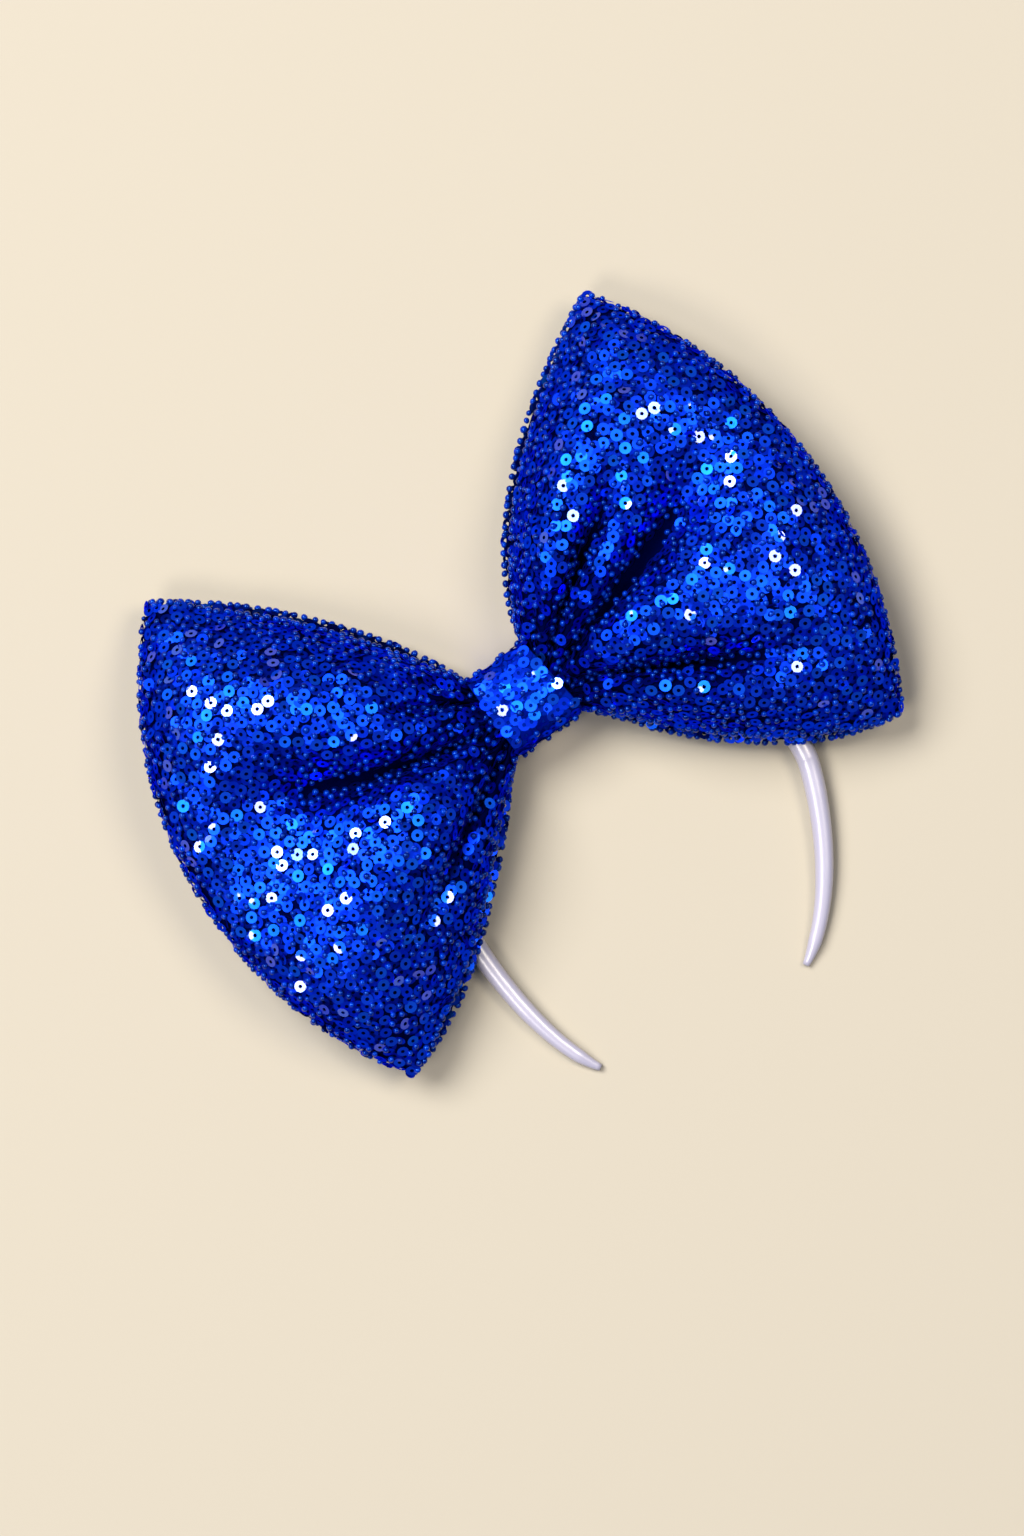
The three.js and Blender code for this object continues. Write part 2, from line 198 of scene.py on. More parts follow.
# Sequins are glossy and keep their full tone only where the cloth faces forwards or backwards by these
# shares; where it turns sideways they darken and lose their coat, as painted shade on the loops' sides
GLOSS_AND_SHADE_FACING = (0.55, 0.85)
BEAD_RADIUS = 1.35
BEAD_LENGTH = 0.85
BEAD_DIMPLE = 0.8
BEAD_SIZES = (0.86, 1.1)
BEAD_LIFT = 1.45
BEAD_LEAN = 0.5
BEAD_SPACING = 3.7
FRONT_BEAD_SPACING = BEAD_SPACING * 0.9
BACK_BEAD_SPACING = BEAD_SPACING * 1.3
KNOT_BEAD_SPACING = BEAD_SPACING * 2
# The rows of beads along the open sides, and how far they turn towards the cloth's face
EDGE_SPACING = 3.9
EDGE_JITTER = 0.2
EDGE_BEAD_SCALE = 1.15
EDGE_FACING = 0.7
# The turned-in hem: its share of the cloth across, and where it starts and ends outwards
HEM_SHARE = 0.12
HEM_REACH = (0.06, 0.97)
# Most small pieces lean by about their spread, some by less and some by more
LEAN_FACTORS = (0.6, 1.0, 2.2)

# Steps of the loops' cloth: across, outwards on both faces, in the waist and at the mouth
ACROSS = 96
FRONT = 72
BACK = 48
WAIST = 6
MOUTH = 7
MOUTH_SHARES = HOLLOW_START * np.arange(MOUTH) / MOUTH
# How much the cloth's lines crowd towards the outer fold and the open sides
FOLD_CROWDING = 0.72
SIDE_CROWDING = 0.45
HEM_ROWS = 7
HEM_COLUMNS = 60
FLAT_STEPS = 60
KNOT_ROWS = 34
KNOT_CORNER_STEPS = 8
KNOT_SIDE_STEPS = 6
KNOT_FRONT_STEPS = 20
BAND_STEPS = 150
BAND_SIDES = 40
# Below 1 the band's section is slightly squared
BAND_POWER = 0.92

knot_low, knot_high = (np.array(corner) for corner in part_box("centre_knot"))
SHIFT = np.array([
    knot_low[0] + KNOT_WIDTH / 2 * MM,
    (knot_low[1] + knot_high[1]) / 2,
    0,
])


# Camera: straight above, turned so that the bow lies aslant, on the photograph's frame

PIXEL = 0.40 * MM
PICTURE_HEIGHT = 1536
FRAME_HEIGHT = PICTURE_HEIGHT * PIXEL
FRAME_CENTRE = SHIFT + np.array([-20.0, -20.3, 0]) * MM
BOW_SLANT = math.radians(35.7)
CAMERA_HEIGHT = 2.2
PLANE_HEIGHT = 0.028
SENSOR = 24.0

camera_data = bpy.data.cameras.new("camera")
camera_data.sensor_fit = "VERTICAL"
camera_data.sensor_height = SENSOR
camera_data.lens = SENSOR * CAMERA_HEIGHT / FRAME_HEIGHT
camera = bpy.data.objects.new("camera", camera_data)
camera.location = (FRAME_CENTRE[0], FRAME_CENTRE[1], PLANE_HEIGHT + CAMERA_HEIGHT)
camera.rotation_euler = (0, 0, -BOW_SLANT)
bpy.context.scene.collection.objects.link(camera)
bpy.context.scene.camera = camera


def lerp(a, b, t):
    return a + (b - a) * t


def smooth(x, low, high):
    t = np.clip((x - low) / (high - low), 0, 1)
    return t * t * (3 - 2 * t)


def cubic(start, handle1, handle2, end, t):
    u = 1 - t
    return u**3 * start + 3 * u * u * t * handle1 + 3 * u * t * t * handle2 + t**3 * end


def unit(vectors):
    return vectors / np.linalg.norm(vectors, axis=-1, keepdims=True)


# Headband

def band_place(along, leg):
    """The centreline of one leg, from the crown at 0 to the tip at 1, seen from the front."""
    crown = along <= CROWN_SHARE
    t = np.where(crown, along / CROWN_SHARE, (along - CROWN_SHARE) / (1 - CROWN_SHARE))
    drop, tip_half_width = np.where(np.less(leg, 0)[..., None], LEFT_LEG, RIGHT_LEG).T
    inwards = BAND_HALF_WIDTH - tip_half_width
    crown_out, crown_down = CROWN_HANDLES
    leg_in, leg_down1, leg_down2 = LEG_HANDLES
    sideways = np.where(
        crown,
        cubic(0, BAND_HALF_WIDTH * crown_out, BAND_HALF_WIDTH, BAND_HALF_WIDTH, t),
        BAND_HALF_WIDTH - cubic(0, 0, inwards * leg_in, inwards, t),
    )
    down = np.where(
        crown,
        cubic(0, 0, BAND_SHOULDER * crown_down, BAND_SHOULDER, t),
        BAND_SHOULDER + cubic(0, drop * leg_down1, drop * leg_down2, drop, t),
    )
    tilt = math.radians(BAND_TILT)
    u = BAND_OFFSET + leg * sideways
    v = BAND_DROP + down
    return np.stack([
        u * math.cos(tilt) - v * math.sin(tilt),
        -u * math.sin(tilt) - v * math.cos(tilt),
    ], -1)


def band_line(steps):
    """Places, strips, thicknesses and undersides from the left tip to the right tip."""
    signed = np.linspace(-1, 1, 2 * steps + 1)
    along = np.abs(signed)
    strip = BAND_STRIP * np.interp(along, BAND_SECTIONS[:, 0], BAND_SECTIONS[:, 1])
    thick = BAND_THICKNESS * np.interp(along, BAND_SECTIONS[:, 0], BAND_SECTIONS[:, 2])
    low = (KNOT_WALL + CLEARANCE) * np.minimum(1, (1 - along) / (1 - CROWN_LEVEL))
    return band_place(along, np.sign(signed)), strip, thick, low


# Bow

def crown_fall(y):
    return KNOT_CROWN * (2 * y / KNOT_HEIGHT) ** 2


def knot_end(side, y):
    lean = -KNOT_SLANT * (y / KNOT_HEIGHT) if side > 0 else 0
    return side * (KNOT_WIDTH / 2) + lean


WAIST_HALF = KNOT_HEIGHT / 2 - KNOT_WALL - CLEARANCE
WAIST_BACK = KNOT_WALL + 2 * CLEARANCE + BAND_THICKNESS


def waist_front(y):
    radius = KNOT_FRONT_RADIUS - KNOT_WALL
    beyond = np.maximum(0, np.abs(y) - (WAIST_HALF - radius))
    rounding = radius - np.sqrt(np.maximum(0, radius**2 - beyond**2))
    return KNOT_DEPTH - KNOT_WALL - CLEARANCE - rounding - crown_fall(y)


def lobe_place(lobe, a, s):
    """Places seen from the front: a runs outwards, s from the lower to the upper edge."""
    def edge(corner, handles):
        out, up = corner
        start_up = math.copysign(WAIST_HALF, up)
        start_out = lobe["side"] * knot_end(lobe["side"], start_up) + CLEARANCE
        out1, up1, out2, up2 = handles
        return np.stack([
            cubic(start_out, out * out1, out * out2, out, a),
            cubic(start_up, up * up1, up * up2, up, a),
        ], -1)

    top = edge(lobe["top_corner"], lobe["top_handles"])
    bottom = edge(lobe["bottom_corner"], lobe["bottom_handles"])
    chord = np.array(lobe["top_corner"]) - np.array(lobe["bottom_corner"])
    half = np.linalg.norm(chord) / 2
    bulge = lobe["fold_bulge"]
    radius = (half**2 + bulge**2) / (2 * bulge)
    height = np.sqrt(radius**2 - ((s - 0.5) * 2 * half) ** 2) - (radius - bulge)
    outwards = np.array([chord[1], -chord[0]]) / (2 * half)
    return lerp(bottom, top, s[..., None]) + (a * height)[..., None] * outwards


def gather_depth(rows, a, s, narrowing=1):
    depth = np.zeros_like(a)
    for near, far, width, spread, deep, fade, end in rows:
        centre = lerp(near, far, np.minimum(1, a / GATHER_FAR))
        share = smooth(a, *GATHER_GROWTH) * (1 - smooth(a, fade, end))
        away = (s - centre) / (lerp(width, spread, a) * narrowing)
        depth += deep * BOW_DEPTH * share * np.exp(-(away**2))
    return depth


def pleat_depth(first, spacing, a, s):
    wave = 0.5 + 0.5 * np.cos(2 * np.pi * (s - first) / spacing)
    dip = MOUTH_DIP * (1 - smooth(a, 0, MOUTH_DIP_END))
    return (PLEAT_DEPTH * wave**2 + dip) * (1 - smooth(a, *PLEAT_FADE))


def dent_depth(rows, a, s):
    depth = np.zeros_like(a)
    for out, across, span_out, span_across, deep in rows:
        away = ((a - out) / span_out) ** 2 + ((s - across) / span_across) ** 2
        depth += deep * BOW_DEPTH * np.exp(-away)
    return depth


LIFT_PLACE, LIFT_STRIP, LIFT_THICK, LIFT_LOW = band_line(LIFT_STEPS)


def lift_over_band(place):
    """The least height of the cloth's back where it lies over the band."""
    height = np.zeros(place.shape[:-1])
    for centre, strip, top in zip(LIFT_PLACE, LIFT_STRIP, LIFT_LOW + LIFT_THICK):
        away = np.linalg.norm(place - centre, axis=-1) - strip / 2
        share = 1 - smooth(away, LIFT_FLAT, LIFT_FLAT + LIFT_RUN)
        height = np.maximum(height, (top + 2 * CLEARANCE) * share)
    return height


def cloth_point(lobe, a, s, face, inset):
    """Points of the cloth, with the face 1 for the front and -1 for the back."""
    a, s = np.broadcast_arrays(np.asarray(a, float), np.asarray(s, float))
    side_share = np.abs(2 * s - 1)
    reach = lobe["top_corner"][0] + lobe["fold_bulge"]
    width = lerp(2 * WAIST_HALF, lobe["top_corner"][1] - lobe["bottom_corner"][1], a)
    tuck = smooth(a, *TUCK_GROWTH) * (1 - smooth(a, *TUCK_END)) if face > 0 else np.zeros_like(a)
    across = lerp(s, 0.5, 2 * tuck * FRONT_INSET / width)
    place = lobe_place(lobe, a * (1 - inset / reach), across) * np.array([lobe["side"], 1])
    fold = np.sqrt(np.maximum(0, 1 - a**FOLD_SHARPNESS))
    plump = 1 - side_share**SIDE_SHARPNESS
    side_half = SIDE_GAP / 2 + CLOTH_WALL
    middle = FOLD_HEIGHT - CORNER_DROOP * side_share**2
    floor = lift_over_band(place)
    drop = (lerp(side_half, middle + REST_FLAT, plump) - inset) * fold
    rest = middle - drop + gather_depth(BACK_GATHERS, a, s) * fold
    back = np.maximum(
        lerp(WAIST_BACK + inset, rest, smooth(a, 0, BACK_SWELL)),
        floor + inset * fold,
    )
    if face < 0:
        z = np.minimum(back, np.maximum(middle, floor + inset))
    else:
        rise = (lerp(side_half, BOW_DEPTH - middle, plump) - inset) * fold
        waist = waist_front(lerp(-WAIST_HALF, WAIST_HALF, s)) - inset
        swell = lerp(waist, middle + rise, smooth(a, 0, FRONT_SWELL))
        creases = CREASE_SHARE * gather_depth(lobe["gathers"], a, s, CREASE_NARROWING)
        creases = creases + gather_depth(lobe["creases"], a, s) + pleat_depth(*lobe["pleats"], a, s)
        folds = gather_depth(lobe["gathers"], a, s) + creases + dent_depth(lobe["dents"], a, s)
        hollows = folds * fold
        room = 1 if inset > CLOTH_OUTSIDE else 2 + 2 * CLOTH_WALL
        least = np.maximum(middle, floor + inset) + room * fold
        low = lerp(back + 2 * (CLOTH_WALL - inset) + 1, least, smooth(a, *ROOM_GROWTH))
        z = np.maximum(swell - hollows, np.minimum(low, swell))
    return np.concatenate([place, z[..., None]], -1)


# Meshes

def to_row(points):
    """From millimetres about the knot to the frame's metres."""
    return np.asarray(points, float) * MM + SHIFT


def mesh_object(name, points, faces, material, slot, tones=None):
    """A piece from points in millimetres and faces of three or four point numbers."""
    faces = np.asarray(faces, np.int32)
    corners = faces.shape[1]
    mesh = bpy.data.meshes.new(name)
    mesh.vertices.add(len(points))
    mesh.vertices.foreach_set("co", to_row(points).ravel())
    mesh.loops.add(faces.size)
    mesh.loops.foreach_set("vertex_index", faces.ravel())
    mesh.polygons.add(len(faces))
    mesh.polygons.foreach_set("loop_start", np.arange(0, faces.size, corners, dtype=np.int32))
    mesh.polygons.foreach_set("use_smooth", np.ones(len(faces), bool))
    if tones is not None:
        mesh.attributes.new("tone", "FLOAT", "POINT").data.foreach_set("value", tones)
    mesh.update(calc_edges=True)
    mesh.materials.append(material)
    piece = bpy.data.objects.new(name, mesh)
    bpy.context.scene.collection.objects.link(piece)
    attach(piece, "root")
    return piece


def grid_faces(first, rows, columns, wrap_columns=False, flip=False):
    """Four-cornered faces of a grid of points numbered row by row."""
    row = np.arange(rows - 1)[:, None]
    column = np.arange(columns if wrap_columns else columns - 1)[None, :]
    after = (column + 1) % columns
    a = first + row * columns + column
    b = first + row * columns + after
    faces = np.stack([a, b, b + columns, a + columns], -1).reshape(-1, 4)
    return faces[:, ::-1] if flip else faces


def in_triangles(faces):
    return np.concatenate([faces[:, [0, 1, 2]], faces[:, [0, 2, 3]]])


def closed_strip(first_row, second_row, flip=False):
    """Faces between two rows of as many point numbers."""
    a, b = np.asarray(first_row), np.asarray(second_row)
    faces = np.stack([a[:-1], a[1:], b[1:], b[:-1]], -1)
    return faces[:, ::-1] if flip else faces


def tube(rings_outer, rings_inner):
    """Points and faces of a thick-walled tube from two stacks of closed rings of one size."""
    rows, count = rings_outer.shape[:2]
    inner_first = rows * count
    numbers = np.arange(2 * rows * count).reshape(2, rows, count)
    faces = [
        grid_faces(0, rows, count, wrap_columns=True),
        grid_faces(inner_first, rows, count, wrap_columns=True, flip=True),
    ]
    for row, flip in ((0, True), (rows - 1, False)):
        outer_row = np.append(numbers[0, row], numbers[0, row, 0])
        inner_row = np.append(numbers[1, row], numbers[1, row, 0])
        faces.append(closed_strip(outer_row, inner_row, flip))
    points = np.concatenate([rings_outer.reshape(-1, 3), rings_inner.reshape(-1, 3)])
    return points, np.concatenate(faces)


def outward_shares(steps):
    t = np.linspace(0, 1, steps + 1)
    return lerp(HOLLOW_START, 1, lerp(t, 1 - (1 - t) ** 2, FOLD_CROWDING))


def across_shares(side):
    t = np.linspace(0, 1, ACROSS + 1)
    shares = lerp(t, 0.5 - 0.5 * np.cos(np.pi * t), SIDE_CROWDING)
    return shares[::-1] if side < 0 else shares


def waist_points(lobe, s, face):
    """The gathered stretch inside the knot, from the middle to the mouth."""
    mouth = cloth_point(lobe, 0.0, s, face, CLOTH_OUTSIDE)
    up = lerp(-WAIST_HALF, WAIST_HALF, s)
    share = np.arange(WAIST) / WAIST
    front = lerp(waist_front(up) - CLOTH_OUTSIDE, mouth[2], share)
    depth = front if face > 0 else np.full(WAIST, WAIST_BACK + CLOTH_OUTSIDE)
    out = lerp(lobe["side"] * CLEARANCE / 2, mouth[0], share)
    return np.stack([out, np.full(WAIST, up), depth], -1)


def hollow_points(lobe, s, inset):
    """Out along the front's hollow part and home along the back's."""
    front = cloth_point(lobe, outward_shares(FRONT), s, 1, inset)
    back = cloth_point(lobe, outward_shares(BACK), s, -1, inset)
    return np.concatenate([front, back[:-1][::-1]])


def loop_cloth(lobe):
    """The loop as closed cloth: rings of points across the ribbon, and the rims of its open sides."""
    outer, inner = [], []
    for s in across_shares(lobe["side"]):
        outer.append(np.concatenate([
            waist_points(lobe, s, 1),
            cloth_point(lobe, MOUTH_SHARES, s, 1, CLOTH_OUTSIDE),
            hollow_points(lobe, s, CLOTH_OUTSIDE),
            cloth_point(lobe, MOUTH_SHARES, s, -1, CLOTH_OUTSIDE)[::-1],
            waist_points(lobe, s, -1)[::-1],
        ]))
        inner.append(hollow_points(lobe, s, CLOTH_INSIDE))
    outer, inner = np.array(outer), np.array(inner)
    rows, outer_count, inner_count = ACROSS + 1, outer.shape[1], inner.shape[1]
    first = rows * outer_count
    faces = [
        grid_faces(0, rows, outer_count, wrap_columns=True),
        grid_faces(first, rows, inner_count, wrap_columns=True, flip=True),
    ]
    solid = WAIST + MOUTH
    for row, flip in ((0, True), (rows - 1, False)):
        out_row = row * outer_count + np.arange(outer_count)
        in_row = first + row * inner_count + np.arange(inner_count)
        faces.append(closed_strip(out_row[:solid + 1], out_row[::-1][:solid + 1], flip))
        faces.append(closed_strip(out_row[solid:outer_count - solid], in_row, flip))
        faces.append(closed_strip(
            [in_row[0], in_row[-1]], [out_row[solid], out_row[outer_count - 1 - solid]], flip,
        ))
    return np.concatenate([outer.reshape(-1, 3), inner.reshape(-1, 3)]), np.concatenate(faces), outer


# Trimmings

class Skin:
    """A surface given as a grid of points, from which places are drawn evenly by area."""

    def __init__(self, grid, weight=None):
        self.grid = grid
        normal = np.cross(np.gradient(grid, axis=1), np.gradient(grid, axis=0))
        self.normal = normal / np.maximum(np.linalg.norm(normal, axis=-1, keepdims=True), TINY)
        a, b, c, d = grid[:-1, :-1], grid[1:, :-1], grid[1:, 1:], grid[:-1, 1:]
        self.area = np.linalg.norm(np.cross(c - a, d - b), axis=-1).ravel() / 2
        if weight is not None:
            self.area *= weight[1:, 1:].ravel()

    def draw(self, count):
        chosen = random.choice(self.area.size, count, p=self.area / self.area.sum())
        row, column = np.divmod(chosen, self.grid.shape[1] - 1)
        u, v = random.random((2, count, 1))

        def blend(values):
            return lerp(
                lerp(values[row, column], values[row, column + 1], v),
                lerp(values[row + 1, column], values[row + 1, column + 1], v),
                u,
            )

        return blend(self.grid), unit(blend(self.normal))


def spread_out(points, spacing):
    """The numbers of the points that stay when none may be nearer than the spacing to another."""
    cells = {}
    kept = []
    keys = np.floor(points / spacing).astype(int)
    near = [(i, j, k) for i in (-1, 0, 1) for j in (-1, 0, 1) for k in (-1, 0, 1)]
    listed = points.tolist()
    for number, key in enumerate(map(tuple, keys.tolist())):
        x, y, z = listed[number]
        free = True
        for i, j, k in near:
            for ox, oy, oz in cells.get((key[0] + i, key[1] + j, key[2] + k), ()):
                if (x - ox) ** 2 + (y - oy) ** 2 + (z - oz) ** 2 < spacing * spacing:
                    free = False
                    break
            if not free:
                break
        if free:
            cells.setdefault(key, []).append((x, y, z))
            kept.append(number)
    return np.array(kept)


def scatter(skin, spacing, tries=9):
    """Places and normals over a skin, about one spacing apart."""
    count = int(tries * skin.area.sum() / spacing**2)
    points, normals = skin.draw(count)
    kept = spread_out(points, spacing)
    return points[kept], normals[kept]


def turned(normals, spins):
    """Axes for pieces that face along the normals, each spun about its own."""
    helper = np.where(np.abs(normals[:, 2:3]) < 0.9, [[0.0, 0.0, 1.0]], [[1.0, 0.0, 0.0]])
    side = unit(np.cross(helper, normals))
    other = np.cross(normals, side)
    cosine, sine = np.cos(spins)[:, None], np.sin(spins)[:, None]
    return side * cosine + other * sine, other * cosine - side * sine, normals


def stamped(template, faces, places, normals, sizes):
    """The template's points and faces at every place."""
    axes = np.stack(turned(normals, random.random(len(places)) * 2 * np.pi), 1)
    points = np.einsum("kj,njc->nkc", template, axes) * sizes[:, None, None] + places[:, None, :]
    offsets = (np.arange(len(places)) * len(template))[:, None, None]
    return points.reshape(-1, 3), (faces[None] + offsets).reshape(-1, faces.shape[1])


def template_rings(sides, rings):
    """Rings of points, each from a radius and a height."""
    turn = 2 * np.pi * np.arange(sides) / sides
    return np.concatenate([
        np.stack([r * np.cos(turn), r * np.sin(turn), np.full(sides, h)], -1) for r, h in rings
    ])


def sequin_template(rings):
    """A nearly flat disc with a hole."""
    faces = grid_faces(0, len(rings), SEQUIN_SIDES, wrap_columns=True, flip=True)
    return template_rings(SEQUIN_SIDES, rings), faces


def bead_template(sides, rows):
    """A small rounded bead with a dimple at each end, as closed triangles."""
    rise = np.pi * (np.arange(rows) + 0.5) / rows - np.pi / 2
    rings = [(math.cos(r), BEAD_LENGTH * math.sin(r)) for r in rise]
    points = np.concatenate([template_rings(sides, rings), [[0, 0, -BEAD_DIMPLE], [0, 0, BEAD_DIMPLE]]])
    low, high = len(points) - 2, len(points) - 1
    ring = np.arange(sides)
    after = (ring + 1) % sides
    last = (rows - 1) * sides
    return points, np.concatenate([
        in_triangles(grid_faces(0, rows, sides, wrap_columns=True)),
        np.stack([after, ring, np.full(sides, low)], -1),
        np.stack([ring + last, after + last, np.full(sides, high)], -1),
    ])


SEQUIN_FINE = sequin_template([
    (SEQUIN_RADIUS, SEQUIN_RISE), (SEQUIN_RADIUS * 0.62, SEQUIN_RISE / 2), (SEQUIN_HOLE, 0),
])
SEQUIN_PLAIN = sequin_template([(SEQUIN_RADIUS, SEQUIN_RISE), (SEQUIN_HOLE, 0)])
BEAD_FINE = bead_template(sides=9, rows=5)
BEAD_PLAIN = bead_template(sides=7, rows=4)


def clear_of(places, others, distance):
    """Whether each place is farther than the distance from all the others."""
    tree = KDTree(len(others))
    for number, other in enumerate(others):
        tree.insert(other, number)
    tree.balance()
    return np.array([tree.find(place)[2] > distance for place in places])


def tilted(normals, spread):
    """Normals that lean a little at random, a few of them more."""
    lean = random.normal(0, 1, normals.shape) * spread
    return unit(normals + lean * random.choice(LEAN_FACTORS, (len(normals), 1)))


def sequins(name, skin, fine, spacing=SEQUIN_SPACING, lean=SEQUIN_LEAN, lifts=SEQUIN_LIFTS):
    """The sequins of a skin, and the places of those that lie on top."""
    places, normals = scatter(skin, spacing)
    # The top ones lie clear of each other and are lighter and glossy
    tones_and_painted_shade = random.random(len(places)) * GLOSSY_TONE
    top = spread_out(places, 2 * SEQUIN_RADIUS)
    tones_and_painted_shade[top] = lerp(GLOSSY_TONE, 1, random.random(len(top)))
    lift = lerp(*lifts, tones_and_painted_shade)[:, None]
    # Painted shade: sequins on cloth that turns sideways get a darker tone and no glossy coat
    tones_and_painted_shade *= lerp(GLOSSY_TONE, 1, smooth(np.abs(normals[:, 2]), *GLOSS_AND_SHADE_FACING))
    template, faces = SEQUIN_FINE if fine else SEQUIN_PLAIN
    sizes = random.uniform(*SEQUIN_SIZES, len(places))
    points, all_faces = stamped(template, faces, places + normals * lift, tilted(normals, lean), sizes)
    points[:, 2] = np.maximum(points[:, 2], LEAST_HEIGHT)
    tones = np.repeat(tones_and_painted_shade, len(template))
    return mesh_object(name, points, all_faces, SEQUIN, "sequin_cloth", tones), places[top]


def beads(name, places, normals, fine, scale=1.0):
    template, faces = BEAD_FINE if fine else BEAD_PLAIN
    sizes = scale * BEAD_RADIUS * random.uniform(*BEAD_SIZES, len(places))
    centres = places + normals * BEAD_LIFT
    centres[:, 2] = np.maximum(centres[:, 2], BEAD_RADIUS * BEAD_SIZES[1])
    points, all_faces = stamped(template, faces, centres, tilted(normals, BEAD_LEAN), sizes)
    tones = np.repeat(random.random(len(places)), len(template))
    return mesh_object(name, points, all_faces, BEAD, "sequin_cloth", tones)


def line_places(line, outward, spacing):
    """Places along a line of points, evenly spaced with a little jitter."""
    lengths = np.append(0, np.cumsum(np.linalg.norm(np.diff(line, axis=0), axis=1)))
    at = np.arange(spacing / 2, lengths[-1], spacing)
    at = at + random.uniform(-EDGE_JITTER, EDGE_JITTER, at.size) * spacing
    places = np.stack([np.interp(at, lengths, line[:, i]) for i in range(3)], -1)
    normals = np.stack([np.interp(at, lengths, outward[:, i]) for i in range(3)], -1)
    return places, unit(normals)


# Materials

def material(name):
    made = bpy.data.materials.new(name)
    made.use_nodes = True
    tree = made.node_tree
    return made, tree.nodes, tree.links, tree.nodes["Principled BSDF"]


def set_inputs(shader, **values):
    for label, value in values.items():
        shader.inputs[label.replace("_", " ")].default_value = value


def toned(nodes, links, colours):
    """Each small piece's own tone, and the colour that a ramp makes of it."""
    tone = nodes.new("ShaderNodeAttribute")
    tone.attribute_name = "tone"
    ramp = nodes.new("ShaderNodeValToRGB")
    while len(ramp.color_ramp.elements) < len(colours):
        ramp.color_ramp.elements.new(0.5)
    for element, (place, colour) in zip(ramp.color_ramp.elements, colours):
        element.position = place
        element.color = (*colour, 1)
    links.new(tone.outputs["Fac"], ramp.inputs["Fac"])
    return tone.outputs["Fac"], ramp.outputs["Color"]


def bumped(nodes, links, shader, texture, strength, distance):
    bump = nodes.new("ShaderNodeBump")
    bump.inputs["Strength"].default_value = strength
    bump.inputs["Distance"].default_value = distance
    links.new(texture, bump.inputs["Height"])
    links.new(bump.outputs["Normal"], shader.inputs["Normal"])


def sequin_material():
    made, nodes, links, shader = material("metallic blue sequins")
    tone, colour = toned(nodes, links, [
        (0.0, (0.002, 0.017, 0.33)),
        (0.4, (0.002, 0.032, 0.75)),
        (0.75, (0.004, 0.065, 0.92)),
        (1.0, (0.006, 0.15, 1.0)),
    ])
    links.new(colour, shader.inputs["Base Color"])
    set_inputs(shader, Metallic=1.0, Roughness=0.38, Specular_Tint=(0.0, 0.24, 1.0, 1))
    # Only some of the sequins have a clear glossy face, and none on steep cloth, where the tone carries
    # painted shade
    glossy = nodes.new("ShaderNodeMapRange")
    glossy.inputs["From Min"].default_value = GLOSSY_TONE
    glossy.inputs["From Max"].default_value = GLOSSY_TONE + 0.05
    glossy.inputs["To Min"].default_value = 0.0
    glossy.inputs["To Max"].default_value = 0.36
    links.new(tone, glossy.inputs["Value"])
    links.new(glossy.outputs["Result"], shader.inputs["Coat Weight"])
    set_inputs(shader, Coat_Roughness=0.02, Coat_IOR=2.5)
    return made


def bead_material():
    made, nodes, links, shader = material("navy glass beads")
    _, colour = toned(nodes, links, [(0.0, (0.0, 0.004, 0.1)), (1.0, (0.0, 0.02, 0.3))])
    links.new(colour, shader.inputs["Base Color"])
    set_inputs(shader, Roughness=0.1, IOR=1.5)
    set_inputs(shader, Specular_IOR_Level=0.8, Specular_Tint=(0.08, 0.33, 1.0, 1))
    return made


def cloth_material(name, colour):
    made, nodes, links, shader = material(name)
    place = nodes.new("ShaderNodeTexCoord")
    weave = nodes.new("ShaderNodeTexVoronoi")
    weave.inputs["Scale"].default_value = 1400
    links.new(place.outputs["Object"], weave.inputs["Vector"])
    set_inputs(shader, Base_Color=(*colour, 1), Roughness=0.8, Specular_IOR_Level=0.0)
    bumped(nodes, links, shader, weave.outputs["Distance"], strength=0.6, distance=0.0003)
    return made


def satin_material():
    made, nodes, links, shader = material("white satin")
    place = nodes.new("ShaderNodeTexCoord")
    weave = nodes.new("ShaderNodeTexNoise")
    weave.inputs["Scale"].default_value = 900
    weave.inputs["Detail"].default_value = 3
    links.new(place.outputs["Object"], weave.inputs["Vector"])
    set_inputs(shader, Base_Color=(0.33, 0.31, 0.385, 1), Roughness=0.34, Specular_IOR_Level=1.0)
    set_inputs(shader, Coat_Weight=0.6, Coat_Roughness=0.3)
    bumped(nodes, links, shader, weave.outputs["Fac"], strength=0.15, distance=0.0002)
    return made


SEQUIN = sequin_material()
BEAD = bead_material()
# The loops' net is near black, much darker than the knot's net: painted shade for the shade between the
# sequins, in the bare creases and inside the loops
PAINTED_SHADE_NET = cloth_material("net darkened as painted shade", (0.0, 0.0008, 0.025))
FOLDED_CLOTH = cloth_material("royal blue folded net", (0.0, 0.007, 0.17))
SATIN = satin_material()


# Loops

def loop_flat(lobe):
    """The flat width and length of the cloth that a loop takes, and its area as cut."""
    shares = np.linspace(0, 1, FLAT_STEPS + 1)
    front = cloth_point(lobe, shares[:, None], shares[None, :], 1, 0)
    back = cloth_point(lobe, shares[:, None], shares[None, :], -1, 0)
    around = sum(
        np.linalg.norm(np.diff(face, axis=0), axis=-1).sum(0).max() for face in (front, back)
    )
    across = np.linalg.norm(np.diff(front, axis=1), axis=-1).sum(1)
    return across.max(), around, across.mean() * around


